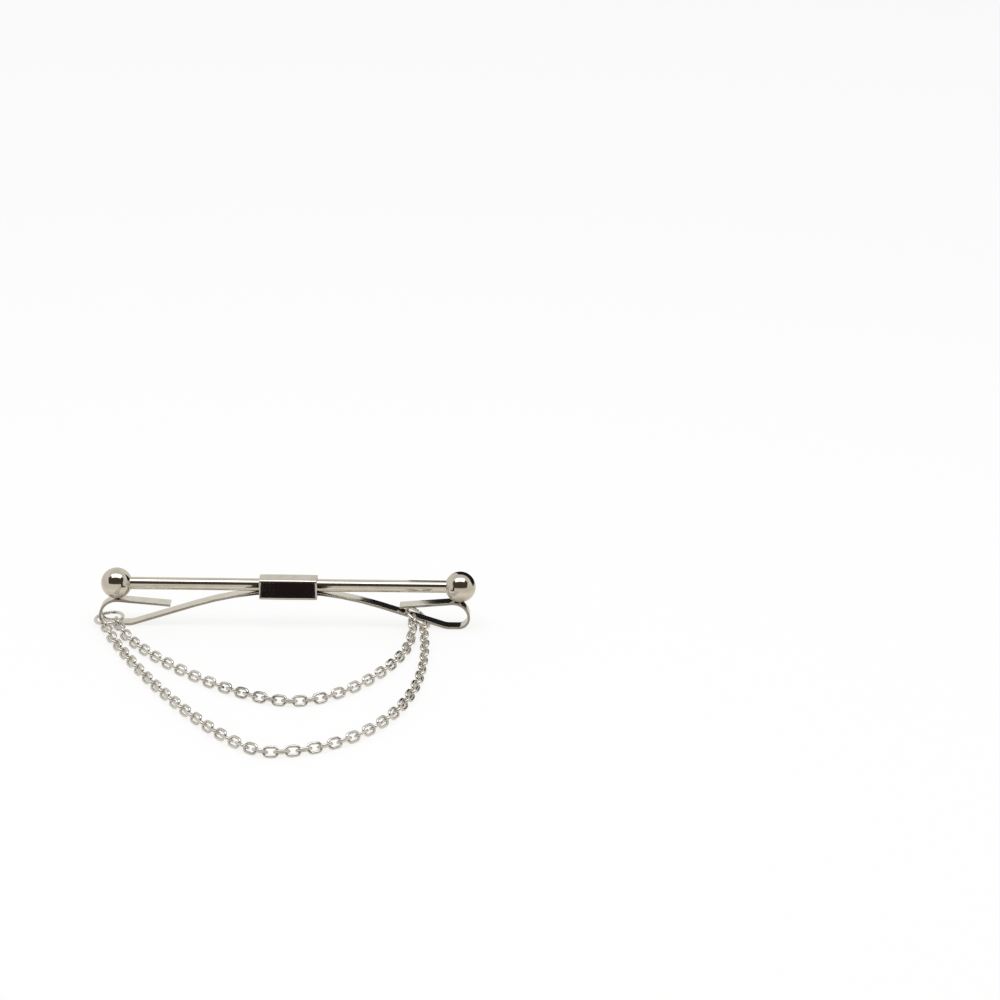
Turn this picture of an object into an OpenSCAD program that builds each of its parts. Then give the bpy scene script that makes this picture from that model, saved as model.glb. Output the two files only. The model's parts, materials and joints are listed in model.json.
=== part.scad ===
// Collar bar with ball ends, a bowed flat spring whose hooks hold the collar, and two draped chains.
// X runs along the rod, Y goes from the chains at the front to the back, and Z is up.

/* [Rod and balls] */
// Diameter of the straight rod
rod_d = 2; // [1.6:0.1:2.6]
// Distance between the centres of the two balls
ball_span = 55.4; // [52:0.2:62]
// Diameter of the ball on each end
ball_d = 5; // [4.4:0.1:5.6]
// Depth of the blind bore that takes the rod's end in each ball
bore_depth = 1.2; // [0.8:0.1:2]
// Height of the rod's axis over the surface that the bar stands on
rod_height = 7.1; // [6.6:0.1:8]

/* [Sleeve] */
// Length of the crimped sleeve
sleeve_len = 9.3; // [6:0.1:12]
// Wall of the sleeve
sleeve_wall = 0.35; // [0.3:0.05:0.6]
// Radius of the sleeve's outer corners
sleeve_corner = 0.55; // [0.45:0.05:0.75]
// Spare width inside the sleeve, beside the rod
sleeve_side_room = 0.25; // [0.1:0.05:0.5]

/* [Spring strip] */
// Width of the strip
strip_w = 2; // [1.4:0.1:2.2]
// Thickness of the strip
strip_t = 0.4; // [0.3:0.05:0.5]
// Slope at which the strip leaves the sleeve, in degrees
mouth_slope = 7; // [4:0.5:9]
// Slope of the strip's straight run, in degrees
leg_slope = 18.3; // [16:0.1:20]
// Radius of the bow between those two slopes
bow_radius = 50; // [40:1:58]
// Radius of the heel that the bar stands on
heel_radius = 3; // [2:0.5:5]
// Radius of the left hook's lower corner
left_corner_radius = 1.35; // [1:0.05:1.6]
// Radius of the right hook's lower corner
right_corner_radius = 1.7; // [1:0.05:2]
// How far the left hook's upper arc is centred inboard of its ball
left_arc_inset = 0; // [0:0.1:1.2]
// How far the right hook's upper arc is centred inboard of its ball
right_arc_inset = 1.15; // [0:0.05:1.6]
// Slope of the hook's upper leg, in degrees
lip_slope = 5; // [3:0.5:7]
// Length of the hook's upper leg
lip_len = 8.4; // [6:0.1:9]
// Gap between the hook's upper arc and the ball at rest
grip_gap = 0.05; // [0.03:0.01:0.2]

/* [Rings] */
// Outer diameter of the jump rings
ring_d = 5; // [4.8:0.1:5.2]
// Diameter of the jump rings' wire
ring_wire = 0.55; // [0.4:0.05:0.6]
// Distance of the left ring's centre from its ball, outboard
left_ring_out = 1.45; // [1.4:0.05:1.5]
// Height of the left ring's centre
left_ring_height = 0.94; // [0.92:0.02:1]
// Tilt of the left ring out of level, in degrees
left_ring_tilt = -6; // [-8:0.5:-4]
// Distance of the right ring's centre from its ball, inboard
right_ring_in = 6.8; // [6.5:0.1:7]
// Tilt of the right ring out of level, in degrees
right_ring_tilt = 38; // [37:0.5:39]
// How far the rings are drawn to the front by the chains
ring_pull = 0.2; // [0.1:0.05:0.3]

/* [Chains] */
// Outer length of a chain link
link_len = 2.6; // [2.4:0.1:2.9]
// Outer width of a chain link
link_w = 1.84; // [1.8:0.02:2]
// Diameter of the links' wire
link_wire = 0.44; // [0.38:0.02:0.46]
// Distance from the rod to the front of the short chain
short_reach = 29.4; // [26:0.2:34]
// Distance from the rod to the front of the long chain
long_reach = 46.2; // [42:0.2:54]

/* [Hidden] */

// Gap between the crimped pieces inside the sleeve
crimp_gap = 0.02;
// Gap of the sleeve's lap seam, between the two layers of sheet under the strip
seam_gap = 0.05;
// Smallest radius of the sleeve's inner corners
least_corner = 0.05;
// Gap round the rod's ends in the balls' bores, beside the rod and at its end
bore_gap = 0.01;
bore_end_gap = 0.05;
// Distance inside the sleeve's mouth at which each arm of the strip bends
hinge_inset = 0.1;
// Gap between the strip's held middle and its arms
split_gap = 0.03;
// Radius of the strip's bend at the sleeve's mouth
mouth_radius = 6;
// Largest turn between two points of an outline, in degrees
arc_step = 5;
// Gap of each jump ring's butt joint
ring_joint_gap = 0.1;
// Room between the right ring and the surface under it
ring_floor_room = 0.05;
// Room between a ring's wire and the end of the link on it
ring_link_room = 0.24;
// Least play between two links that hang on each other
link_play = 0.05;
// Height of the lying links over the surface under them
link_floor_room = 0.03;
// Roll of every second link on the surface, in degrees; the others lean the other way
link_roll = 38;
// Number of links between each ring and the first run of chain
lead_links = 3;
// Slack where each lead meets the chain, which the lead takes up when its hook is pressed open
lead_slack = 0.14;
// Length of chain over which its ends come down from the rings
drop_run = 8;
// Number of samples along each half of a chain's route
route_samples = 60;
// Shares of a chain's links, from its left end, at which it can bend and fold
short_fold_share = 0.29;
long_bend_share = 0.19;
long_fold_share = 0.33;

// Where the chains sit on each ring, in degrees from its front towards the right
short_left_seat = 40;
long_left_seat = -15;
short_right_seat = -30;
long_right_seat = 30;
// Headings of the chains where they leave the rings, in degrees
short_left_heading = -75;
short_right_heading = -80;
long_left_heading = -71;
long_right_heading = -84;
// How far the chains run along those headings before they turn
short_left_pull = 11;
short_right_pull = 11;
long_left_pull = 17;
long_right_pull = 38;
// Place of each chain's front point along the rod, and how far it runs level to each side
short_front_x = 2.5;
long_front_x = 0.5;
short_front_flat = 9;
long_front_flat = 7;

// Places along the rod
ball_x = ball_span / 2;
hinge_x = sleeve_len / 2 - hinge_inset;
rod_len = ball_span - ball_d + 2 * (bore_depth - bore_end_gap);

// The strip under the rod, from the sleeve's mouth to the bottom of the heel
strip_z = rod_height - rod_d / 2 - crimp_gap - strip_t / 2;
heel_drop = heel_radius * (1 - cos(leg_slope));
bend_drop = mouth_radius * (1 - cos(mouth_slope)) + bow_radius * (cos(mouth_slope) - cos(leg_slope));
leg_run = (strip_z - strip_t / 2 - bend_drop - heel_drop) / sin(leg_slope);
heel_x = hinge_x + split_gap / 2 + hinge_inset + mouth_radius * sin(mouth_slope)
    + bow_radius * (sin(leg_slope) - sin(mouth_slope)) + leg_run * cos(leg_slope) + heel_radius * sin(leg_slope);

// The hooks, each as [how far its upper arc is centred inboard of the ball, radius of its lower corner]
left_hook = [left_arc_inset, left_corner_radius];
right_hook = [right_arc_inset, right_corner_radius];
function arc_rise(hook) = rod_height - strip_t / 2 - hook[1];
function arc_radius(hook) = norm([hook[0], arc_rise(hook)]) - ball_d / 2 - grip_gap - strip_t / 2;
function hook_x(hook) = ball_x - hook[0] + arc_radius(hook);

// One arm of the strip as runs: [length, 0] is straight, and [radius, turn] is an arc, up being positive
function arm_runs(hook) = [
    [hinge_inset, 0], [mouth_radius, -mouth_slope], [bow_radius, mouth_slope - leg_slope], [leg_run, 0],
    [heel_radius, leg_slope], [hook_x(hook) - hook[1] - heel_x, 0], [hook[1], 90],
    [arc_radius(hook), 90 + lip_slope], [lip_len, 0]
];

// Point at a share of a run that starts at p with heading a
function run_point(p, a, run, share) =
    run[1] == 0 ? p + share * run[0] * [cos(a), sin(a)]
    : let(b = a + share * run[1], r = sign(run[1]) * run[0]) p + r * [sin(b) - sin(a), cos(a) - cos(b)];

// Points and headings along the runs from number i on
function trace(runs, i, p, a) =
    i == len(runs) ? []
    : let(n = max(1, ceil(abs(runs[i][1]) / arc_step))) concat(
        [for (k = [1:n]) [run_point(p, a, runs[i], k / n), a + k / n * runs[i][1]]],
        trace(runs, i + 1, run_point(p, a, runs[i], 1), a + runs[i][1])
    );

// Outline of a strip of thickness t along traced points
function ribbon(line, t) = concat(
    [for (q = line) q[0] + t / 2 * [-sin(q[1]), cos(q[1])]],
    [for (k = [len(line) - 1:-1:0]) line[k][0] + t / 2 * [sin(line[k][1]), -cos(line[k][1])]]
);

arm_start = [hinge_x + split_gap / 2, strip_z];
function arm_line(hook) = concat([[arm_start, 0]], trace(arm_runs(hook), 0, arm_start, 0));

// Sleeve section, outside and inside
sleeve_in_w = max(rod_d, strip_w) + sleeve_side_room;
sleeve_in_h = rod_d + strip_t + 3 * crimp_gap;
sleeve_z = rod_height + rod_d / 2 + crimp_gap - sleeve_in_h / 2;
lap = seam_gap + sleeve_wall;

// Rings
ring_r = (ring_d - ring_wire) / 2;
left_ring_at = [-ball_x - left_ring_out, -ring_pull, left_ring_height];
right_ring_at = [
    ball_x - right_ring_in, -ring_pull, ring_r * sin(right_ring_tilt) + ring_wire / 2 + ring_floor_room
];

// Point on a ring's wire centre, at an angle from the ring's front
function seat(at, tilt, angle) = at + ring_r * [sin(angle) * cos(tilt), -cos(angle), -sin(angle) * sin(tilt)];

// Links
link_r = (link_w - link_wire) / 2;
link_straight = link_len - link_w;
link_reach = link_len - 2 * link_wire;
left_lean = 90 - link_roll - left_ring_tilt;
right_lean = 90 - link_roll - right_ring_tilt;

// Height of the links' centres where they touch the surface, leaned by an angle more than the roll
function lying_z(lean) =
    link_r * max(sin(link_roll + lean), cos(link_roll + lean)) + link_wire / 2 + link_floor_room;

// Point on a cubic curve
function curve(p, t) =
    pow(1 - t, 3) * p[0] + 3 * t * pow(1 - t, 2) * p[1] + 3 * t * t * (1 - t) * p[2] + pow(t, 3) * p[3];

// Running total of the distances along a list of points
function lengths(p, i = 0, sum = 0) =
    i == len(p) - 1 ? [sum] : concat([sum], lengths(p, i + 1, sum + norm(p[i + 1] - p[i])));

// Point at a distance along a list of points whose running lengths are known
function at_length(p, run, s) =
    let(k = lookup(s, [for (i = [0:len(p) - 1]) [run[i], i]]), i = min(floor(k), len(p) - 2))
    p[i] + (k - i) * (p[i + 1] - p[i]);

// 1 at a chain's end, falling smoothly to 0 at the end of its drop
function near_end(s) = let(u = min(s / drop_run, 1)) 1 - u * u * (3 - 2 * u);

// Plan of a route: a curve from the left seat to the front point, and one on to the right seat
function plan(a, b, left, right, front, flat) = concat(
    [for (i = [0:route_samples - 1]) curve([a, a + left, front - [flat, 0], front], i / route_samples)],
    [for (i = [0:route_samples]) curve([front, front + [flat, 0], b + right, b], i / route_samples)]
);

// The plan raised to the height of the seats at its ends and to the lying height between them
function raised(p, run, z_a, z_b) = [
    for (i = [0:len(p) - 1])
        let(
            fall_a = near_end(run[i]),
            fall_b = near_end(run[len(p) - 1] - run[i]),
            lift = (z_a - lying_z(left_lean)) * fall_a + (z_b - lying_z(right_lean)) * fall_b
        )
        [p[i][0], p[i][1], lying_z(left_lean * fall_a + right_lean * fall_b) + lift]
];

// Route of a chain between two seats, each end starting behind its ring's wire
function route(a, b, heading_a, heading_b, pull_a, pull_b, front, flat) =
    let(
        dir_a = [cos(heading_a), sin(heading_a)],
        dir_b = [cos(heading_b), sin(heading_b)],
        back = ring_wire / 2 + ring_link_room,
        p = plan(
            [a[0], a[1]] - back * dir_a, [b[0], b[1]] - back * dir_b, pull_a * dir_a, pull_b * dir_b, front, flat
        )
    )
    raised(p, lengths(p), max(a[2], lying_z(left_lean)), b[2]);

function odd_up(n) = n % 2 == 1 ? n : n + 1;

// Places of the links along a route, each as [centre, direction, width direction]
function links_along(p) =
    let(
        run = lengths(p),
        total = run[len(run) - 1],
        n = odd_up(ceil((total + 2 * lead_slack) / (link_reach - link_play))),
        pitch = (total + 2 * lead_slack) / n
    )
    [
        for (i = [0:n - 1])
            let(
                s = (i + 0.5) * pitch - (i >= lead_links ? lead_slack : 0) - (i >= n - lead_links ? lead_slack : 0),
                a = at_length(p, run, s - pitch / 2),
                b = at_length(p, run, s + pitch / 2),
                dir = (b - a) / norm(b - a),
                side = cross(dir, [0, 0, 1]) / norm(cross(dir, [0, 0, 1])),
                roll = link_roll + left_lean * near_end(s) + right_lean * near_end(total - s) + 90 * (i % 2)
            )
            [(a + b) / 2, dir, cos(roll) * side + sin(roll) * cross(side, dir)]
    ];

short_links = links_along(route(
    seat(left_ring_at, left_ring_tilt, short_left_seat), seat(right_ring_at, right_ring_tilt, short_right_seat),
    short_left_heading, short_right_heading, short_left_pull, short_right_pull,
    [short_front_x, -short_reach], short_front_flat
));
long_links = links_along(route(
    seat(left_ring_at, left_ring_tilt, long_left_seat), seat(right_ring_at, right_ring_tilt, long_right_seat),
    long_left_heading, long_right_heading, long_left_pull, long_right_pull,
    [long_front_x, -long_reach], long_front_flat
));

// Links at which the chains' rigid runs begin on the left; the right side mirrors them
short_cuts = [0, lead_links, round(short_fold_share * len(short_links))];
long_cuts = [
    0, lead_links, round(long_bend_share * len(long_links)), round(long_fold_share * len(long_links))
];

// How far a link reaches to the front
function link_front(q) =
    q[0][1] - link_straight / 2 * abs(q[1][1]) - link_r * norm([q[1][1], q[2][1]]) - link_wire / 2;

// The whole bar moved so that the origin is under the middle of its box
ring_half = ring_r * cos(left_ring_tilt) + ring_wire / 2;
x_low = min(-ball_x - ball_d / 2, -hook_x(left_hook) - strip_t / 2, left_ring_at[0] - ring_half);
x_high = max(ball_x + ball_d / 2, hook_x(right_hook) + strip_t / 2);
y_low = min([for (q = long_links) link_front(q)]);
y_high = ball_d / 2;
home = [-(x_low + x_high) / 2, -(y_low + y_high) / 2, 0];

module bar_rod() {
    color("gainsboro") translate(home + [-rod_len / 2, 0, rod_height]) rotate([0, 90, 0])
        cylinder(d = rod_d, h = rod_len, $fn = 48);
}

// One ball, drilled on the side that faces the rod; end is 1 on the right and -1 on the left
module ball(end) {
    bore = bore_depth + ball_d / 2;
    color("silver") translate(home + [end * ball_x, 0, rod_height]) rotate([0, -90 * end, 0])
        difference() {
            sphere(d = ball_d, $fn = 64);
            translate([0, 0, ball_d / 2 - bore_depth])
                cylinder(d = rod_d + 2 * bore_gap, h = bore, $fn = 48);
        }
}

module left_ball() {
    ball(-1);
}

module right_ball() {
    ball(1);
}

// Rectangle with round corners
module rounded(w, h, r) {
    square([w - 2 * r, h], center = true);
    square([w, h - 2 * r], center = true);
    for (x = [-1, 1], y = [-1, 1])
        translate([x * (w / 2 - r), y * (h / 2 - r)]) circle(r = r, $fn = 32);
}

// Sheet wrapped round the rod and the strip and lapped under them, the slit opening at the back
module sleeve() {
    inner_corner = max(sleeve_corner - sleeve_wall, least_corner);
    outer_w = sleeve_in_w + 2 * sleeve_wall;
    color("lightgray") translate(home + [0, 0, sleeve_z]) rotate([90, 0, 90])
        linear_extrude(height = sleeve_len, center = true)
            difference() {
                translate([0, -lap / 2])
                    rounded(outer_w, sleeve_in_h + 2 * sleeve_wall + lap, sleeve_corner);
                rounded(sleeve_in_w, sleeve_in_h, inner_corner);
                translate([-sleeve_in_w / 2, -sleeve_in_h / 2 - lap]) {
                    square([seam_gap, lap + inner_corner]);
                    square([outer_w, seam_gap]);
                }
            }
}

module spring_centre() {
    color("silver") translate(home + [0, 0, strip_z])
        cube([2 * hinge_x - split_gap, strip_w, strip_t], center = true);
}

// One arm of the strip with its hook, drawn on the right
module spring_arm(hook) {
    rotate([90, 0, 0]) linear_extrude(height = strip_w, center = true)
        polygon(ribbon(arm_line(hook), strip_t));
}

module left_spring_arm() {
    color("silver") translate(home) mirror([1, 0, 0]) spring_arm(left_hook);
}

module right_spring_arm() {
    color("silver") translate(home) spring_arm(right_hook);
}

// Ring of round wire, its butt joint at the back
module jump_ring() {
    gap_angle = ring_joint_gap / ring_r * 180 / PI;
    rotate([0, 0, 90 + gap_angle / 2]) rotate_extrude(angle = 360 - gap_angle, $fn = 64)
        translate([ring_r, 0]) circle(d = ring_wire, $fn = 24);
}

module left_ring() {
    color("darkgray") translate(home + left_ring_at) rotate([0, left_ring_tilt, 0]) jump_ring();
}

module right_ring() {
    color("darkgray") translate(home + right_ring_at) rotate([0, right_ring_tilt, 0]) jump_ring();
}

// Oval link in the XY plane, long along X
module link() {
    for (end = [-1, 1])
        translate([end * link_straight / 2, 0, 0]) rotate([0, 0, -90 * end])
            rotate_extrude(angle = 180, $fn = 32) translate([link_r, 0]) circle(d = link_wire, $fn = 16);
    for (side = [-1, 1])
        translate([-link_straight / 2, side * link_r, 0]) rotate([0, 90, 0])
            cylinder(d = link_wire, h = link_straight, $fn = 16);
}

// Links number first to last of a chain, each turned onto its direction and width direction
module chain(links, first, last) {
    color("silver") translate(home)
        for (i = [first:last]) {
            c = links[i][0];
            u = links[i][1];
            w = links[i][2];
            n = cross(u, w);
            multmatrix([[u[0], w[0], n[0], c[0]], [u[1], w[1], n[1], c[1]], [u[2], w[2], n[2], c[2]]]) link();
        }
}

// Run number k of a chain, counted from a ring, on the left or mirrored by number on the right
module left_run(links, cuts, k) {
    chain(links, cuts[k], cuts[k + 1] - 1);
}

module right_run(links, cuts, k) {
    chain(links, len(links) - cuts[k + 1], len(links) - 1 - cuts[k]);
}

module middle_run(links, cuts) {
    from = cuts[len(cuts) - 1];
    chain(links, from, len(links) - 1 - from);
}

module short_left_lead() {
    left_run(short_links, short_cuts, 0);
}

module short_right_lead() {
    right_run(short_links, short_cuts, 0);
}

module short_left_run() {
    left_run(short_links, short_cuts, 1);
}

module short_right_run() {
    right_run(short_links, short_cuts, 1);
}

module short_middle() {
    middle_run(short_links, short_cuts);
}

module long_left_lead() {
    left_run(long_links, long_cuts, 0);
}

module long_right_lead() {
    right_run(long_links, long_cuts, 0);
}

module long_left_upper() {
    left_run(long_links, long_cuts, 1);
}

module long_right_upper() {
    right_run(long_links, long_cuts, 1);
}

module long_left_lower() {
    left_run(long_links, long_cuts, 2);
}

module long_right_lower() {
    right_run(long_links, long_cuts, 2);
}

module long_middle() {
    middle_run(long_links, long_cuts);
}

bar_rod();
left_ball();
right_ball();
sleeve();
spring_centre();
left_spring_arm();
right_spring_arm();
left_ring();
right_ring();
short_left_lead();
short_right_lead();
short_left_run();
short_right_run();
short_middle();
long_left_lead();
long_right_lead();
long_left_upper();
long_right_upper();
long_left_lower();
long_right_lower();
long_middle();
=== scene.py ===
# %% [markdown]
# # Dressing a collar bar
# A collar bar draws the two points of a shirt collar together under the knot of a tie. This one is a straight
# rod with a ball on each end, a flat spring crimped under its middle, and two chains hung from the spring.
# Its sizes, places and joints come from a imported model, and this lesson makes the surfaces and their finish.
# Every piece is a surface worked out with numpy, and every finish is a procedural material.

# %% Load the frame
import json
import math

import bpy
import numpy as np
from mathutils import Matrix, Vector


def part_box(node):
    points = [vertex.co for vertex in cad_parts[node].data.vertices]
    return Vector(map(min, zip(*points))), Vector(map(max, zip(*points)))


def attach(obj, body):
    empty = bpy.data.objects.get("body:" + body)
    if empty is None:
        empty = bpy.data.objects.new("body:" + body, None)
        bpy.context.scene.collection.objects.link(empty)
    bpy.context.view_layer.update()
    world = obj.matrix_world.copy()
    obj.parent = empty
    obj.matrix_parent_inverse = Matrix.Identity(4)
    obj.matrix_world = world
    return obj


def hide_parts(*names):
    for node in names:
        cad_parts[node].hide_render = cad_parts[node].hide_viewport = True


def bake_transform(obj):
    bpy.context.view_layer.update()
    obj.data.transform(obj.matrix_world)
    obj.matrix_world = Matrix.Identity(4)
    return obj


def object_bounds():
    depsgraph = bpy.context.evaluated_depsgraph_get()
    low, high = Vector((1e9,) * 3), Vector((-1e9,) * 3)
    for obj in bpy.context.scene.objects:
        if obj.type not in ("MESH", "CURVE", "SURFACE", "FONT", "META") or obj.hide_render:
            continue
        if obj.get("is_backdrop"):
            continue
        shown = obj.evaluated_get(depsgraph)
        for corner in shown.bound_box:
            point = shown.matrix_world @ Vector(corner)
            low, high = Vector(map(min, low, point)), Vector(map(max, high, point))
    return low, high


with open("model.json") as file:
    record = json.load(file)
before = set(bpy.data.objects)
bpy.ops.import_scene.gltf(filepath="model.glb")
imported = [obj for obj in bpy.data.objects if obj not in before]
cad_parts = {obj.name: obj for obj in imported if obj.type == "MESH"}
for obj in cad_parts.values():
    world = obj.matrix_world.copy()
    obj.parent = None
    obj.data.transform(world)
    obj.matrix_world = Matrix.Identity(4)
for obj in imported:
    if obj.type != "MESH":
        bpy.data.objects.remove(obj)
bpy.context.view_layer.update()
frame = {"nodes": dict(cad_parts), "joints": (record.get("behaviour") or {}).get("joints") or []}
joints = {joint["name"]: joint for joint in frame["joints"]}
MM = 0.001


# %% [markdown]
# ## Places and sizes from the frame
# The frame knows where each node lies, so a piece never needs to be fitted by eye. One function turns the two
# corners of a node's box into its middle and its size, and the rest of the lesson measures with it.

# %% Measure a node
def middle_and_size(node):
    """The middle of a node's box and its three side lengths, in metres, as arrays."""
    low, high = (np.array(corner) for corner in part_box(node))
    return (low + high) / 2, high - low


rod_middle, rod_size = middle_and_size("bar_rod")
rod_radius = rod_size[2] / 2
print("rod: %.1f mm long, %.2f mm thick" % (rod_size[0] / MM, rod_size[2] / MM))

# %% [markdown]
# ## The camera
# A photograph of a small thing is taken from close by with a long lens. The line of sight to the rod slopes
# down by 24 degrees, and the rod's middle shows left of the picture's middle. From that pixel, the focal
# length in pixels and the distance, the camera's place follows, with no shift. The photographer's camera was
# rolled a little to the left, so the rod's right end shows slightly lower than its left one.

# %% Place the camera
PICTURE_PX = 1000
FOCAL_PX = 2790
ROD_MIDDLE_PX = (288.5, 584.9)
SIGHT_SLOPE = math.radians(24)
ROLL = math.radians(0.68)
CAMERA_DISTANCE = 450 * MM
SENSOR_MM = 36

across, down = ((px - PICTURE_PX / 2) / FOCAL_PX for px in ROD_MIDDLE_PX)
pitch = SIGHT_SLOPE - math.atan(down)
turn = Matrix.Rotation(math.pi / 2 - pitch, 3, "X") @ Matrix.Rotation(ROLL, 3, "Z")
sight = np.array(turn) @ [across, -down, -1]

camera = bpy.data.objects.new("camera", bpy.data.cameras.new("camera"))
camera.data.sensor_width = SENSOR_MM
camera.data.lens = SENSOR_MM * FOCAL_PX / PICTURE_PX
camera.data.clip_start = 0.01
camera.location = rod_middle - CAMERA_DISTANCE * sight
camera.rotation_euler = turn.to_euler()
bpy.context.scene.collection.objects.link(camera)
bpy.context.scene.camera = camera
print("camera: lens %.1f mm, pitch %.1f degrees" % (camera.data.lens, math.degrees(pitch)))


# %% [markdown]
# ## Two helpers for nodes
# Every material is a small tree of nodes. One function adds a node with its settings and its inputs, so a
# tree reads from top to bottom like a recipe. Colours are written as the hex values that a screen shows, and
# one function turns them into the linear values that light is reckoned in.

# %% Helpers for nodes and colours
def add(tree, kind, inputs={}, **settings):
    """Adds a node: settings are its properties, and inputs are values or other nodes' outputs, by socket."""
    node = tree.nodes.new(kind)
    for name, value in settings.items():
        setattr(node, name, value)
    for name, value in inputs.items():
        if isinstance(value, bpy.types.NodeSocket):
            tree.links.new(value, node.inputs[name])
        else:
            node.inputs[name].default_value = value
    return node


def linear(hex_colour):
    """A hex colour as linear red, green, blue and 1: each channel is undone from the sRGB curve."""
    channels = np.array([int(hex_colour[i:i + 2], 16) for i in (1, 3, 5)]) / 255
    curved = np.where(channels <= 0.04045, channels / 12.92, ((channels + 0.055) / 1.055) ** 2.4)
    return (*curved.tolist(), 1.0)


# %% [markdown]
# ## What the metal sees
# Polished metal has no look of its own: it shows the room. A photographer lights it with one large soft box
# overhead and stands dark cards round it, because without them a mirror on white paper would vanish. A card
# that is far away is a soft-edged patch of the world, set by its direction, and only reflections see it. The
# camera sees plain white.

# %% A card in the world
def card(tree, where, azimuth, elevation, half_width, half_height, soft):
    """Mask of a rectangle in the sky. The direction's parts along the card's right, up and outward axes are
    taken, the first two are divided by the third, and each falls smoothly from 1 to 0 across the card's edge.
    All angles are in degrees; azimuth 0 is behind the object and grows to the right."""
    az, el = math.radians(azimuth), math.radians(elevation)
    out = (math.sin(az) * math.cos(el), math.cos(az) * math.cos(el), math.sin(el))
    right = (math.cos(az), -math.sin(az), 0)
    up = (-math.sin(az) * math.sin(el), -math.cos(az) * math.sin(el), math.cos(el))
    depth = add(tree, "ShaderNodeVectorMath", {0: where, 1: out}, operation="DOT_PRODUCT").outputs["Value"]
    mask = add(tree, "ShaderNodeMath", {0: depth, 1: 0.0}, operation="GREATER_THAN").outputs[0]
    for axis, half in ((right, half_width), (up, half_height)):
        part = add(
            tree, "ShaderNodeVectorMath", {0: where, 1: axis}, operation="DOT_PRODUCT"
        ).outputs["Value"]
        slope = add(tree, "ShaderNodeMath", {0: part, 1: depth}, operation="DIVIDE").outputs[0]
        size = add(tree, "ShaderNodeMath", {0: slope}, operation="ABSOLUTE").outputs[0]
        inner, outer = (math.tan(math.radians(limit)) for limit in (half - soft, half + soft))
        edge = add(
            tree, "ShaderNodeMapRange",
            {"Value": size, "From Min": inner, "From Max": outer, "To Min": 1.0, "To Max": 0.0},
            interpolation_type="SMOOTHSTEP",
        ).outputs["Result"]
        mask = add(tree, "ShaderNodeMath", {0: mask, 1: edge}, operation="MULTIPLY").outputs[0]
    return mask


# %% [markdown]
# The room behind the cards is a gradient by height: dim under the object, where it stands in its own shade,
# warm near the level of the table, and a plain grey above. One card is laid over it: the dark room behind the
# camera, which draws the dark line along the rod and the dark window on the balls.

# %% The world
CARDS = (
    # azimuth, elevation, half width, half height and soft edge in degrees, and the shade
    (180, 47, 56, 34, 3, "#463c32"),
)
FILL = 0.68
HEIGHTS = (
    # height of the direction from -1, straight down, to 1, straight up, and the shade there
    (-1.0, "#bab3a8"), (-0.85, "#dfd9ce"), (-0.6, "#f0eadf"), (-0.2, "#dcd6cb"),
    (0.2, "#dedad1"), (0.42, "#e4e1da"), (0.75, "#d9d6ce"), (1.0, "#d2cfc7"),
)

world = bpy.data.worlds.new("studio")
bpy.context.scene.world = world
world.use_nodes = True
world.node_tree.nodes.clear()
tree = world.node_tree
where = add(tree, "ShaderNodeTexCoord").outputs["Generated"]
height = add(tree, "ShaderNodeSeparateXYZ", {"Vector": where}).outputs["Z"]
half_up = add(tree, "ShaderNodeMath", {0: height, 1: 0.5, 2: 0.5}, operation="MULTIPLY_ADD").outputs[0]
ramp = add(tree, "ShaderNodeValToRGB", {"Fac": half_up})
while len(ramp.color_ramp.elements) < len(HEIGHTS):
    ramp.color_ramp.elements.new(0.5)
for stop, (level, shade) in zip(ramp.color_ramp.elements, HEIGHTS):
    stop.position = (level + 1) / 2
    stop.color = linear(shade)
room = ramp.outputs["Color"]
for azimuth, elevation, half_width, half_height, soft, shade in CARDS:
    mask = card(tree, where, azimuth, elevation, half_width, half_height, soft)
    room = add(
        tree, "ShaderNodeMixRGB", {"Fac": mask, "Color1": room, "Color2": linear(shade)}
    ).outputs["Color"]
rays = add(tree, "ShaderNodeLightPath").outputs
seen = add(tree, "ShaderNodeBackground", {"Color": room, "Strength": 1.0}).outputs[0]
fill = add(tree, "ShaderNodeBackground", {"Color": linear("#ffffff"), "Strength": FILL}).outputs[0]
white = add(tree, "ShaderNodeBackground", {"Color": linear("#ffffff"), "Strength": 1.0}).outputs[0]
lit = add(tree, "ShaderNodeMixShader", {"Fac": rays["Is Glossy Ray"], 1: fill, 2: seen}).outputs[0]
shown = add(tree, "ShaderNodeMixShader", {"Fac": rays["Is Camera Ray"], 1: lit, 2: white}).outputs[0]
add(tree, "ShaderNodeOutputWorld", {"Surface": shown})
print("world:", len(tree.nodes), "nodes,", len(CARDS), "cards")

# %% [markdown]
# ## The soft box and the table
# One wide lamp hangs above the object, a little to the camera's side. It puts the long white line on the rod,
# a white patch on each ball and a soft, faint shadow on the table. The table is plain white. For the camera
# most of it is drawn at a strength of 1, which is white, and the rest is lit, so that it keeps the shadow.
# Reflections don't see it, because the lower half of the room stands for it there.

# %% Lamp and table
SOFT_BOX_WIDE = 0.62
SOFT_BOX_DEEP = 0.26
SOFT_BOX_DISTANCE = 0.5
SOFT_BOX_WATTS = 1.1
SOFT_BOX_SLOPE = math.radians(100)

soft_box = bpy.data.objects.new("soft_box", bpy.data.lights.new("soft_box", "AREA"))
soft_box.data.shape = "RECTANGLE"
soft_box.data.size = SOFT_BOX_WIDE
soft_box.data.size_y = SOFT_BOX_DEEP
soft_box.data.energy = SOFT_BOX_WATTS
toward = np.array([0, math.cos(SOFT_BOX_SLOPE), math.sin(SOFT_BOX_SLOPE)])
soft_box.location = rod_middle + SOFT_BOX_DISTANCE * toward
soft_box.rotation_euler = (SOFT_BOX_SLOPE - math.pi / 2, 0, 0)
bpy.context.scene.collection.objects.link(soft_box)

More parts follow.
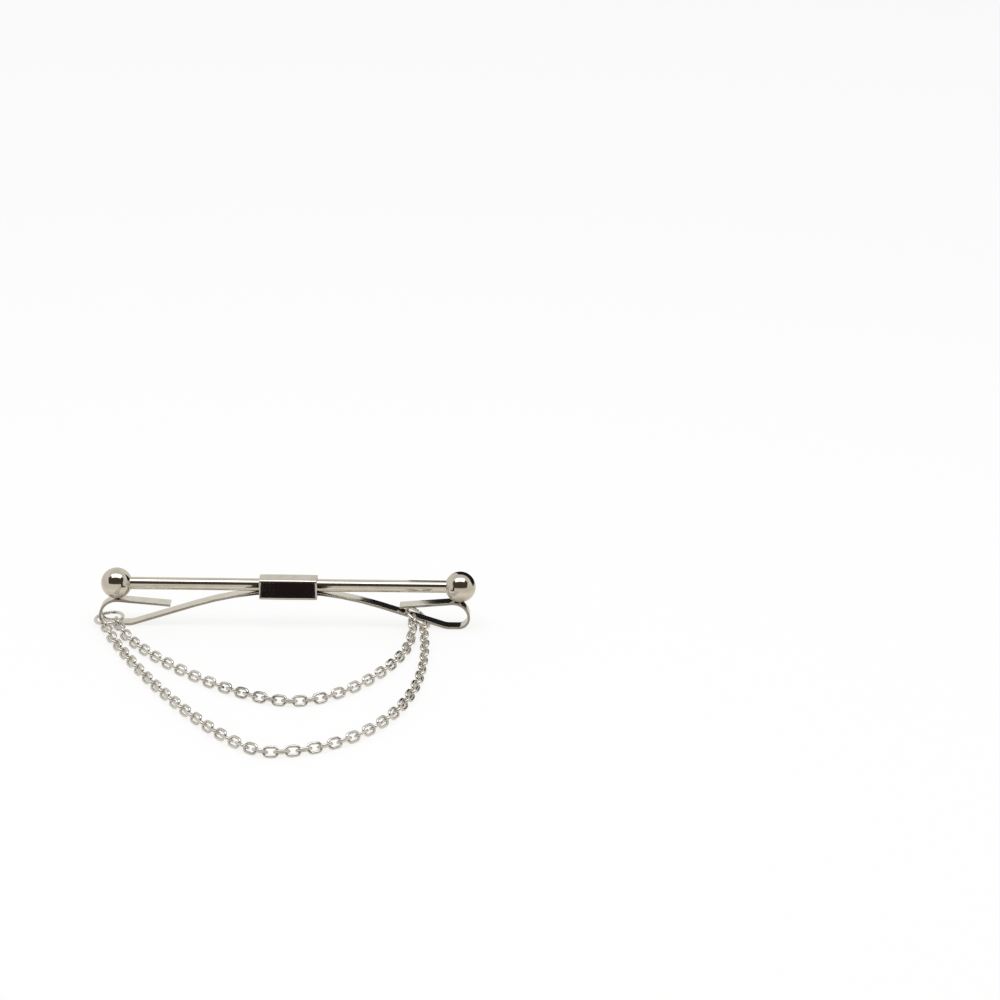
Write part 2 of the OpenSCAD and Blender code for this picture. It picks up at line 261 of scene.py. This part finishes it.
TABLE_SIZE = 3.0
TABLE_PLAIN_SHARE = 0.8
table_mesh = bpy.data.meshes.new("table")
half_table = TABLE_SIZE / 2
corners = [(x * half_table, y * half_table, 0) for x, y in ((-1, -1), (1, -1), (1, 1), (-1, 1))]
table_mesh.from_pydata(corners, [], [(0, 1, 2, 3)])
table = bpy.data.objects.new("table", table_mesh)
bpy.context.scene.collection.objects.link(table)
table.visible_glossy = False
table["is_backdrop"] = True

paper = bpy.data.materials.new("white_paper")
paper.use_nodes = True
paper.node_tree.nodes.clear()
tree = paper.node_tree
rays = add(tree, "ShaderNodeLightPath").outputs
share = add(tree, "ShaderNodeMath", {0: rays["Is Camera Ray"], 1: TABLE_PLAIN_SHARE}, operation="MULTIPLY")
matte = add(tree, "ShaderNodeBsdfDiffuse", {"Color": linear("#fbfbfa")}).outputs[0]
plain = add(tree, "ShaderNodeEmission", {"Color": linear("#ffffff"), "Strength": 1.0}).outputs[0]
mixed = add(tree, "ShaderNodeMixShader", {"Fac": share.outputs[0], 1: matte, 2: plain}).outputs[0]
add(tree, "ShaderNodeOutputMaterial", {"Surface": mixed})
table_mesh.materials.append(paper)


# %% [markdown]
# ## Two dark cards close by
# One dark card stands close behind the right half of the bar, just out of the picture. It is near enough that
# its left edge shows as a sharp line on the right leg of the spring, so it can't be a patch of the far world.
# A small folded one lies in front of the sleeve and turns its flat face black. Both are real sheets, but only
# reflections see them, and they cast no shadow.

# %% Cards for reflections
CARD_SIDES = (18.1 * MM, 150 * MM)
CARD_BACK = 38 * MM
CARD_HEIGHT = 55 * MM
FOLD_SIDES = (-8.0 * MM, 5.2 * MM)
FOLD_NEAR = 9 * MM
FOLD_FAR = 25 * MM
FOLD_HEIGHT = 16 * MM


def near_card(name, sides, line, shade):
    """A sheet between two places along the rod: each point of its line is a distance behind the rod and a
    height, and neighbours on the line are joined by a rectangle."""
    mesh = bpy.data.meshes.new(name)
    points = [(rod_middle[0] + x, rod_middle[1] + y, z) for y, z in line for x in sides]
    mesh.from_pydata(points, [], [(2 * k, 2 * k + 1, 2 * k + 3, 2 * k + 2) for k in range(len(line) - 1)])
    sheet = bpy.data.objects.new(name, mesh)
    bpy.context.scene.collection.objects.link(sheet)
    sheet.visible_camera = sheet.visible_diffuse = sheet.visible_shadow = False
    sheet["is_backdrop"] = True
    dark = bpy.data.materials.new(name)
    dark.use_nodes = True
    dark.node_tree.nodes.clear()
    dim = add(dark.node_tree, "ShaderNodeEmission", {"Color": linear(shade), "Strength": 1.0}).outputs[0]
    add(dark.node_tree, "ShaderNodeOutputMaterial", {"Surface": dim})
    mesh.materials.append(dark)
    print("card:", name)


back_line = ((CARD_BACK, 0), (CARD_BACK, CARD_HEIGHT))
fold_line = ((-FOLD_NEAR, 0), (-FOLD_FAR, 0), (-FOLD_FAR, FOLD_HEIGHT))
near_card("back_card", CARD_SIDES, back_line, "#1d1a1b")
near_card("folded_card", FOLD_SIDES, fold_line, "#221b1c")


# %% [markdown]
# ## Bright nickel plate
# Every part is brass or steel with a coat of bright nickel, a slightly warm silvery white. Plating levels the
# surface but keeps the lines of what lies under it: the drawing lines of wire, the rolling lines of strip and
# the turning lines of a ball. Handling adds a faint haze in patches. So one function makes the finish from
# three patterns: fine lines, a haze, and the slow waves that bend a reflection.

# %% Nickel plate
HAZE_MM = 2.2
HAZE_FROM, HAZE_TO = 0.45, 0.75
HAZE_ROUGHNESS = 0.07
LINES_FROM, LINES_TO = 0.3, 0.8
LINES_ROUGHNESS = 0.06
EDGE_FACE_FROM, EDGE_FACE_TO = 0.6, 0.9


def nickel(name, shade, dull_shade, shine, lines_mm, line_depth_um, wave_mm, wave_um, edge_face_shade=None):
    """Bright nickel. shade and dull_shade are hex colours, shine is the roughness where it is cleanest,
    lines_mm is the spacing of the fine lines along X, Y and Z, and the waves are wave_mm apart and wave_um
    deep. Where there is an edge_face_shade, faces that look along Y, which are the narrow edges of strip, take
    that darker shade."""
    material = bpy.data.materials.new(name)
    material.use_nodes = True
    tree = material.node_tree
    tree.nodes.clear()
    place = add(tree, "ShaderNodeTexCoord").outputs["Object"]
    per_metre = [1 / (spacing * MM) for spacing in lines_mm]
    along = add(tree, "ShaderNodeMapping", {"Vector": place, "Scale": per_metre}).outputs["Vector"]
    lines = add(tree, "ShaderNodeTexNoise", {"Vector": along, "Scale": 1.0, "Detail": 3.0}).outputs["Fac"]
    haze = add(
        tree, "ShaderNodeTexNoise", {"Vector": place, "Scale": 1 / (HAZE_MM * MM), "Detail": 4.0}
    ).outputs["Fac"]
    patches = add(
        tree, "ShaderNodeMapRange", {"Value": haze, "From Min": HAZE_FROM, "From Max": HAZE_TO}
    ).outputs["Result"]
    waves = add(
        tree, "ShaderNodeTexNoise", {"Vector": place, "Scale": 1 / (wave_mm * MM), "Detail": 1.0}
    ).outputs["Fac"]
    colour = add(
        tree, "ShaderNodeMixRGB", {"Fac": patches, "Color1": linear(shade), "Color2": linear(dull_shade)}
    ).outputs["Color"]
    # Faces that look along Y, the narrow edges of the strip, take the darker shade by the way they face.
    if edge_face_shade:
        facing = add(tree, "ShaderNodeTexCoord").outputs["Normal"]
        sideways = add(tree, "ShaderNodeSeparateXYZ", {"Vector": facing}).outputs["Y"]
        size = add(tree, "ShaderNodeMath", {0: sideways}, operation="ABSOLUTE").outputs[0]
        narrow_face = add(
            tree, "ShaderNodeMapRange", {"Value": size, "From Min": EDGE_FACE_FROM, "From Max": EDGE_FACE_TO}
        ).outputs["Result"]
        colour = add(
            tree, "ShaderNodeMixRGB", {"Fac": narrow_face, "Color1": colour, "Color2": linear(edge_face_shade)}
        ).outputs["Color"]
    lined = add(
        tree, "ShaderNodeMapRange",
        {
            "Value": lines, "From Min": LINES_FROM, "From Max": LINES_TO,
            "To Min": shine, "To Max": shine + LINES_ROUGHNESS,
        },
    ).outputs["Result"]
    roughness = add(
        tree, "ShaderNodeMath", {0: patches, 1: HAZE_ROUGHNESS, 2: lined}, operation="MULTIPLY_ADD"
    ).outputs[0]
    waved = add(
        tree, "ShaderNodeBump", {"Height": waves, "Distance": wave_um * MM * MM, "Strength": 1.0}
    ).outputs["Normal"]
    normal = add(
        tree, "ShaderNodeBump",
        {"Height": lines, "Distance": line_depth_um * MM * MM, "Strength": 1.0, "Normal": waved},
    ).outputs["Normal"]
    surface = add(
        tree, "ShaderNodeBsdfPrincipled",
        {"Base Color": colour, "Metallic": 1.0, "Roughness": roughness, "Normal": normal},
    ).outputs["BSDF"]
    add(tree, "ShaderNodeOutputMaterial", {"Surface": surface})
    print("finish:", name)
    return material


# %% [markdown]
# The rod is drawn through a die, so its lines run along X. The balls are turned on a lathe about the same
# axis, so theirs run round it. The sleeve and the spring are rolled sheet and strip, with lines along their
# length, and the strip's two narrow edges, the faces that look along Y, are given a darker shade. The rings
# and the chain are wire that was tumbled bright, with no direction left.

# %% The five finishes
drawn_rod = nickel("nickel_on_drawn_rod", "#dedad2", "#d2cdc2", 0.05, (8, 0.1, 0.1), 0.06, 3.0, 0.8)
turned_ball = nickel("nickel_on_turned_ball", "#dcd8cf", "#cfcabf", 0.06, (0.1, 2, 2), 0.2, 1.5, 3.0)
rolled_sheet = nickel("nickel_on_rolled_sheet", "#dbd8d1", "#cdc9c0", 0.07, (5, 0.1, 0.1), 0.5, 1.1, 5.0)
rolled_strip = nickel(
    "nickel_on_spring_strip", "#e6e3dc", "#d7d4cd", 0.1, (4, 0.1, 4), 0.5, 1.6, 4.0, edge_face_shade="#a19c93"
)
tumbled_wire = nickel("nickel_on_tumbled_wire", "#e4e2df", "#d2d0cb", 0.08, (0.3, 0.3, 0.3), 1.0, 0.9, 4.0)


# %% [markdown]
# ## From rings of points to a skin
# Nearly every metal part here is an outline carried along a path, so its surface is a row of rings with the
# same number of points each. One function joins neighbouring rings by faces and closes the ends, and another
# turns the result into a piece that stands for its node, whose own mesh it hides.

# %% Skin and piece
SHARP_ANGLE = math.radians(40)


def skin(rings, closed=False):
    """Points and faces over rings of points. Each face joins two neighbours on a ring to the same two on the
    next one. A closed row ends where it starts, and an open one gets a fan of triangles over each end."""
    rows, around = rings.shape[:2]
    r = np.arange(rows if closed else rows - 1)[:, None]
    a = np.arange(around)[None, :]
    next_r, next_a = (r + 1) % rows, (a + 1) % around
    corners = (r * around + a, r * around + next_a, next_r * around + next_a, next_r * around + a)
    faces = np.stack(corners, -1).reshape(-1, 4).tolist()
    points = rings.reshape(-1, 3)
    if not closed:
        last = (rows - 1) * around
        a, next_a = a[0], next_a[0]
        faces += np.stack([a * 0 + rows * around, next_a, a], -1).tolist()
        faces += np.stack([a * 0 + rows * around + 1, last + a, last + next_a], -1).tolist()
        points = np.concatenate([points, rings[[0, -1]].mean(axis=1)])
    return points, faces


def make_piece(name, skins, material, nodes):
    """One mesh from several skins, shaded smooth but for its corners, with every face turned outwards."""
    points, faces = [], []
    for skin_points, skin_faces in skins:
        first = sum(len(p) for p in points)
        faces += [[first + i for i in face] for face in skin_faces]
        points.append(skin_points)
    mesh = bpy.data.meshes.new(name)
    mesh.from_pydata(np.concatenate(points).tolist(), [], faces)
    mesh.calc_loop_triangles()
    triangles = np.zeros(len(mesh.loop_triangles) * 3, np.int32)
    mesh.loop_triangles.foreach_get("vertices", triangles)
    a, b, c = (np.concatenate(points)[triangles.reshape(-1, 3)[:, i]] for i in range(3))
    if np.einsum("ij,ij->", a, np.cross(b, c)) < 0:
        mesh.flip_normals()
    mesh.shade_smooth()
    mesh.set_sharp_from_angle(angle=SHARP_ANGLE)
    mesh.materials.append(material)
    piece = bpy.data.objects.new(name, mesh)
    bpy.context.scene.collection.objects.link(piece)
    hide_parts(*nodes)
    print("%s: %d points, %d faces" % (name, len(mesh.vertices), len(mesh.polygons)))
    return piece


# %% [markdown]
# ## Outlines and paths
# A bent part is drawn the way a wire bender is set up: straight for so much, then a turn of so many degrees
# at such a radius, and so on. Tracing those runs gives the points of the path and its heading at each, and an
# outline is then carried along it.

# %% Trace and carry
STRAIGHT_STEP = 0.5 * MM
EDGE_POINTS = 5


def trace(runs, start=(0.0, 0.0), heading=0.0, arc_step=4):
    """Points and headings along runs of (length, 0) or (radius, turn). A straight adds its length along the
    heading. An arc adds its radius times the change of the heading's sine and of its cosine, in steps of at
    most arc_step degrees."""
    points, headings = [np.array([start])], [np.array([heading])]
    for size, turn in runs:
        steps = max(2, math.ceil(abs(turn) / arc_step if turn else size / STRAIGHT_STEP))
        share = np.arange(1, steps + 1) / steps
        a = np.radians(headings[-1][-1])
        b = a + np.radians(turn) * share
        if turn:
            step = math.copysign(size, turn) * np.stack([np.sin(b) - np.sin(a), np.cos(a) - np.cos(b)], -1)
        else:
            step = size * share[:, None] * np.array([np.cos(a), np.sin(a)])
        points.append(points[-1][-1] + step)
        headings.append(np.degrees(b))
    return np.concatenate(points), np.radians(np.concatenate(headings))


def circle(radius, around):
    """Outline of round wire: cosine and sine of equal steps of a full turn, times the radius."""
    angle = np.arange(around) / around * 2 * np.pi
    return radius * np.stack([np.cos(angle), np.sin(angle)], -1)


def sheet_outline(width, thickness, edge, across):
    """Outline of strip with rounded edges: four quarter circles, and extra points along the two faces."""
    quarter = np.linspace(0, np.pi / 2, EDGE_POINTS)
    corner = edge * np.stack([np.cos(quarter), np.sin(quarter)], -1)
    half = np.array([width / 2 - edge, thickness / 2 - edge])
    arcs = [
        half * [x, y] + (corner if x == y else corner[::-1]) * [x, y]
        for x, y in ((1, 1), (-1, 1), (-1, -1), (1, -1))
    ]
    between = np.linspace(1, -1, across + 2)[1:-1, None] * half[0] * [1, 0]
    top, bottom = between + [0, thickness / 2], -between - [0, thickness / 2]
    return np.concatenate([arcs[0], top, arcs[1], arcs[2], bottom, arcs[3]])


def carry(outline, path, side, rise, size=1.0):
    """Rings of an outline along a path: each point is the path's, plus the outline's first number along the
    side direction there and its second along the rise direction, both times a size that may vary."""
    scaled = np.asarray(size).reshape(-1, 1, 1) * outline[None]
    return path[:, None] + scaled[..., :1] * side[:, None] + scaled[..., 1:] * rise[:, None]


# %% [markdown]
# ## The rod
# The rod is a length of drawn wire, cut off and broken at its edges so that it enters the balls' bores. It
# could be a cylinder, but a lathe profile gives it those bevels: a radius for each place along X, carried
# round the axis.

# %% The rod
ROUND_POINTS = 64
ROD_RINGS = 80
ROD_BEVEL = 0.12 * MM


def turned(profile, origin, axis):
    """A surface of revolution: each place and radius of the profile becomes a ring round the axis."""
    axis = np.asarray(axis, float)
    side = np.array([0.0, 1.0, 0.0])
    rise = np.cross(axis, side)
    path = origin + profile[:, :1] * axis
    ones = np.ones((len(profile), 1))
    return carry(circle(1.0, ROUND_POINTS), path, ones * side, ones * rise, profile[:, 1])


half_rod = rod_size[0] / 2
bevels = [[-half_rod, rod_radius - ROD_BEVEL], [-half_rod + ROD_BEVEL, rod_radius]]
places = np.linspace(-half_rod + 2 * ROD_BEVEL, half_rod - 2 * ROD_BEVEL, ROD_RINGS)
shaft = np.stack([places, np.full_like(places, rod_radius)], -1)
rod_profile = np.concatenate([bevels, shaft, [[-x, r] for x, r in bevels[::-1]]])
rod = make_piece(
    "drawn_rod", [skin(turned(rod_profile, rod_middle, (1, 0, 0)))], drawn_rod, ["bar_rod"]
)
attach(rod, "bar")

# %% [markdown]
# ## The balls
# Each ball is turned from bar and drilled on the side that faces the rod. The profile runs from the outer
# pole over the ball to the bore's mouth, round a small break of the edge, and down the bore to its flat
# bottom. Carried round the rod's axis it closes on itself.

# %% The balls
BORE_CLEARANCE = 0.01 * MM
BORE_DEPTH = 1.2 * MM
BORE_EDGE = 0.07 * MM
BALL_RINGS = 60
POLE_ANGLE = math.radians(0.5)


def ball_profile(radius, bore):
    """Places along the axis towards the rod, and radii there: the ball, the broken edge of the bore in two
    bevels, the bore's wall and its bottom."""
    mouth = math.pi - math.asin((bore + BORE_EDGE) / radius)
    angle = np.linspace(POLE_ANGLE, mouth, BALL_RINGS)
    ball = np.stack([-radius * np.cos(angle), radius * np.sin(angle)], -1)
    lip = ball[-1, 0] - 0.3 * BORE_EDGE
    bottom = radius - BORE_DEPTH
    wall = [[lip, bore + 0.3 * BORE_EDGE], [lip - 0.7 * BORE_EDGE, bore], [bottom, bore], [bottom, bore / 2]]
    return np.concatenate([ball, wall])


for side, inward in (("left", 1), ("right", -1)):
    low, high = (np.array(corner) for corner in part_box(side + "_ball"))
    radius = (high[1] - low[1]) / 2
    outer_pole = low[0] if inward > 0 else high[0]
    centre = np.array([outer_pole + inward * radius, *(low + high)[1:] / 2])
    profile = ball_profile(radius, rod_radius + BORE_CLEARANCE)
    ball = make_piece(
        side + "_turned_ball", [skin(turned(profile, centre, (inward, 0, 0)))], turned_ball,
        [side + "_ball"],
    )
    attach(ball, "bar")

# %% [markdown]
# ## The sleeve
# The sleeve is a piece of sheet wrapped round the rod and the spring and squeezed flat on four sides, with
# one edge lapped over the other under the strip. So it is the outline of the sheet, long in X and thin,
# carried round the wrap: from the inner edge at the front, under the strip, up the back, over the top, down
# the front, and under the first layer to the back. Squeezing leaves each face a touch fuller at its middle.

# %% The sleeve
SHEET = 0.35 * MM
SHEET_EDGE = 0.06 * MM
SLEEVE_CORNER = 0.55 * MM
LAP_GAP = 0.05 * MM
CRIMP_CROWN = 0.03 * MM
SHEET_ACROSS = 24

sleeve_middle, sleeve_size = middle_and_size("sleeve")
half_depth, half_height = (sleeve_size[1:] - SHEET) / 2
bend = SLEEVE_CORNER - SHEET / 2
lap = SHEET + LAP_GAP
inner_layer = 2 * half_depth - SHEET / 2 - LAP_GAP - bend
wrap, heading = trace(
    [
        (inner_layer, 0), (bend, 90),
        (2 * (half_height - bend) - lap, 0), (bend, 90),
        (2 * (half_depth - bend), 0), (bend, 90),
        (2 * (half_height - bend), 0), (bend, 90),
        (2 * half_depth - bend + SHEET / 2, 0),
    ],
    start=(half_depth - bend - inner_layer, lap - half_height),
)
path = sleeve_middle + np.stack([0 * wrap[:, 0], wrap[:, 0], wrap[:, 1]], -1)
outward = np.stack([0 * heading, np.sin(heading), -np.cos(heading)], -1)
along_rod = np.tile([1.0, 0.0, 0.0], (len(path), 1))
outline = sheet_outline(sleeve_size[0], SHEET, SHEET_EDGE, SHEET_ACROSS)
rings = carry(outline, path, along_rod, outward)
reach = (rings[..., 0] - sleeve_middle[0]) / (sleeve_size[0] / 2)
rings += (CRIMP_CROWN * (1 - reach ** 2) - CRIMP_CROWN)[..., None] * outward[:, None]
sleeve = make_piece("wrapped_sleeve", [skin(rings)], rolled_sheet, ["sleeve"])
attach(sleeve, "bar")

# %% [markdown]
# ## The flat spring
# The spring is one strip of spring metal. From the sleeve it bows away from the rod, runs down to a heel that
# the bar stands on, turns up round a tight corner and folds back in a wide arc that reaches the ball, and its
# straight free leg ends inboard. The runs are the real ones. The strip is drawn in two halves that meet
# inside the sleeve. The metal really flexes at the sleeve's mouth, but here each half is one fixed
# shape.

# %% The runs of one arm
MOUTH_SLOPE = 7
MOUTH_RADIUS = 6 * MM
BOW_RADIUS = 50 * MM
LEG_SLOPE = 18.3
HEEL_RADIUS = 3 * MM
HOOKS = {
    # how far the upper arc is centred inboard of the ball, and the radius of the lower corner
    "left": (0.0, 1.35 * MM),
    "right": (1.15 * MM, 1.7 * MM),
}
LIP_SLOPE = 5
LIP_LENGTH = 8.4 * MM
GRIP_GAP = 0.05 * MM
HINGE_INSET = 0.1 * MM
SPLIT_GAP = 0.03 * MM

strip_middle, strip_size = middle_and_size("spring_centre")
strip_width, strip_thick = strip_size[1], strip_size[2]
ball_radius = middle_and_size("right_ball")[1][1] / 2
ball_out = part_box("right_ball")[1][0] - ball_radius - rod_middle[0]


def cosine(degrees):
    return math.cos(math.radians(degrees))


def sine(degrees):
    return math.sin(math.radians(degrees))


heel_drop = HEEL_RADIUS * (1 - cosine(LEG_SLOPE))
mouth_drop = MOUTH_RADIUS * (1 - cosine(MOUTH_SLOPE))
bow_drop = BOW_RADIUS * (cosine(MOUTH_SLOPE) - cosine(LEG_SLOPE))
leg_run = (strip_middle[2] - strip_thick / 2 - (mouth_drop + bow_drop) - heel_drop) / sine(LEG_SLOPE)
sleeve_end = strip_size[0] / 2 + SPLIT_GAP + HINGE_INSET
bend_run = MOUTH_RADIUS * sine(MOUTH_SLOPE) + BOW_RADIUS * (sine(LEG_SLOPE) - sine(MOUTH_SLOPE))
heel_x = sleeve_end + bend_run + leg_run * cosine(LEG_SLOPE) + HEEL_RADIUS * sine(LEG_SLOPE)


def arm_runs(inset, corner):
    """The runs from the strip's middle to the end of its free leg. The hook's lower corner has the given
    radius, and its upper arc is as large as the ball over it leaves room for."""
    arc_rise = rod_middle[2] - strip_thick / 2 - corner
    arc_radius = math.hypot(inset, arc_rise) - ball_radius - GRIP_GAP - strip_thick / 2
    heel_flat = ball_out - inset + arc_radius - corner - heel_x
    return [
        (sleeve_end, 0), (MOUTH_RADIUS, -MOUTH_SLOPE),
        (BOW_RADIUS, MOUTH_SLOPE - LEG_SLOPE), (leg_run, 0),
        (HEEL_RADIUS, LEG_SLOPE), (heel_flat, 0),
        (corner, 90), (arc_radius, 90 + LIP_SLOPE), (LIP_LENGTH, 0),
    ]


print("spring: the straight runs are %.1f mm long and end %.1f mm out" % (leg_run / MM, heel_x / MM))

# %% The two halves
STRIP_EDGE = 0.07 * MM
STRIP_ACROSS = 3

for side, sign in (("left", -1), ("right", 1)):
    line, heading = trace(arm_runs(*HOOKS[side]), start=(0.0, strip_middle[2]))
    path = np.stack([rod_middle[0] + sign * line[:, 0], np.full(len(line), rod_middle[1]), line[:, 1]], -1)
    rise = np.stack([-sign * np.sin(heading), 0 * heading, np.cos(heading)], -1)
    width = np.tile([0.0, 1.0, 0.0], (len(path), 1))
    outline = sheet_outline(strip_width, strip_thick, STRIP_EDGE, STRIP_ACROSS)
    half = make_piece(
        side + "_spring_half", [skin(carry(outline, path, width, rise))], rolled_strip,
        [side + "_spring_arm", "spring_centre"],
    )
    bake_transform(half)

# %% [markdown]
# ## The jump rings
# A jump ring is one turn of round wire, sawn through so that it can be twisted open and closed again. The cut
# stays as a hair line, here at the back. The ring's middle and its axis are those of the joint it turns on.

# %% The jump rings
RING_OUTSIDE = 5 * MM
RING_WIRE = 0.55 * MM
RING_CUT = 0.1 * MM
RING_STEPS = 90
CUT_END = 0.86
WIRE_POINTS = 20

ring_radius = (RING_OUTSIDE - RING_WIRE) / 2

for side in ("left", "right"):
    joint = joints[side + "_ring_turn"]
    axis = np.array(joint["axis"])
    back = np.array([0.0, 1.0, 0.0])
    half_cut = RING_CUT / ring_radius / 2
    angle = np.linspace(half_cut, 2 * np.pi - half_cut, RING_STEPS)[:, None]
    radial = np.cos(angle) * back + np.sin(angle) * np.cross(axis, back)
    path = np.array(joint["pos_m"]) + ring_radius * radial
    size = np.ones(len(path))
    size[[0, -1]] = CUT_END
    rings = carry(circle(RING_WIRE / 2, WIRE_POINTS), path, radial, np.tile(axis, (len(path), 1)), size)
    ring = make_piece(side + "_jump_ring", [skin(rings)], tumbled_wire, [side + "_ring"])
    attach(ring, side + "_ring")


# %% [markdown]
# ## The chains
# The chain is cable chain: each oval link is bent from wire, closed through the last one and soldered. The
# frame holds the links as separate solids, each in its own place, so this step reads where every link lies
# and which way it faces, and puts a fuller link there. Solids that share no point are told apart by passing
# the lowest number round each of them, and the spread of a solid's surface gives its long and its wide
# direction.

# %% Find the links in a node
def link_places(node):
    """Middle, long direction and wide direction of each separate solid in a node. The directions are those
    in which its surface is spread most and second most about its middle."""
    mesh = frame["nodes"][node].data
    mesh.calc_loop_triangles()
    points = np.zeros(len(mesh.vertices) * 3)
    mesh.vertices.foreach_get("co", points)
    corners = np.zeros(len(mesh.loop_triangles) * 3, np.int64)
    mesh.loop_triangles.foreach_get("vertices", corners)
    points, same = np.unique(points.reshape(-1, 3), axis=0, return_inverse=True)
    corners = same.reshape(-1)[corners].reshape(-1, 3)
    label = np.arange(len(points))
    while True:
        lowest = label[corners].min(axis=1)
        new = label.copy()
        for k in range(3):
            np.minimum.at(new, corners[:, k], lowest)
        new = new[new]
        if (new == label).all():
            break
        label = new
    found = []
    for name in np.unique(label[corners[:, 0]]):
        v = points[corners[label[corners[:, 0]] == name]]
        area = np.linalg.norm(np.cross(v[:, 1] - v[:, 0], v[:, 2] - v[:, 0]), axis=1) / 2
        middle = (area[:, None] * v.mean(axis=1)).sum(axis=0) / area.sum()
        v = v - middle
        spread = np.einsum("t,tki,tkj->ij", area, v, v) + np.einsum("t,ti,tj->ij", area, v.sum(1), v.sum(1))
        directions = np.linalg.eigh(spread)[1]
        found.append((middle, directions[:, 2], directions[:, 1]))
    return found


# %% One link
LINK_LENGTH = 2.6 * MM
LINK_WIDTH = 1.84 * MM
LINK_WIRE = 0.44 * MM
SOLDER_SWELL = 0.07
SOLDER_REACH = 0.25 * MM
LINK_POINTS = 12
LINK_ARC_STEP = 15

end_radius = (LINK_WIDTH - LINK_WIRE) / 2
side_run = LINK_LENGTH - LINK_WIDTH
link_line, link_heading = trace(
    [(side_run / 2, 0), (end_radius, 180), (side_run, 0), (end_radius, 180), (side_run / 2, 0)],
    start=(0.0, -end_radius), arc_step=LINK_ARC_STEP,
)
link_line, link_heading = link_line[:-1], link_heading[:-1]
solder = np.exp(-((link_line[:, 0] / SOLDER_REACH) ** 2)) * (link_line[:, 1] < 0)
link_size = 1 + SOLDER_SWELL * solder


def link_skin(middle, long, wide):
    """The link's oval laid along its long and wide directions, with round wire carried along it."""
    over = np.cross(long, wide)
    path = middle + link_line[:, :1] * long + link_line[:, 1:] * wide
    outward = np.sin(link_heading)[:, None] * long - np.cos(link_heading)[:, None] * wide
    wire = circle(LINK_WIRE / 2, LINK_POINTS)
    return skin(carry(wire, path, outward, np.tile(over, (len(path), 1)), link_size), closed=True)


# %% The chains
CHAINS = {
    "short_left_lead": "short_left_lead", "short_right_lead": "short_right_lead",
    "long_left_lead": "long_left_lead", "long_right_lead": "long_right_lead",
    "short_left_run": "short_run", "short_right_run": "short_run", "short_middle": "short_middle",
    "long_left_upper": "long_upper", "long_right_upper": "long_upper",
    "long_left_lower": "long_lower", "long_right_lower": "long_lower", "long_middle": "long_middle",
}
links = 0
for node, body in CHAINS.items():
    places = link_places(node)
    links += len(places)
    chain = make_piece(
        node + "_links", [link_skin(*place) for place in places], tumbled_wire, [node]
    )
    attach(chain, body)
print("chains:", links, "links")

# %% [markdown]
# ## The view and the size
# The picture is shown as the light falls, with no film look. The box that the dressed model fills is
# measured.

# %% Sizes and finish
bpy.context.scene.view_settings.view_transform = "Standard"
low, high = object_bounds()
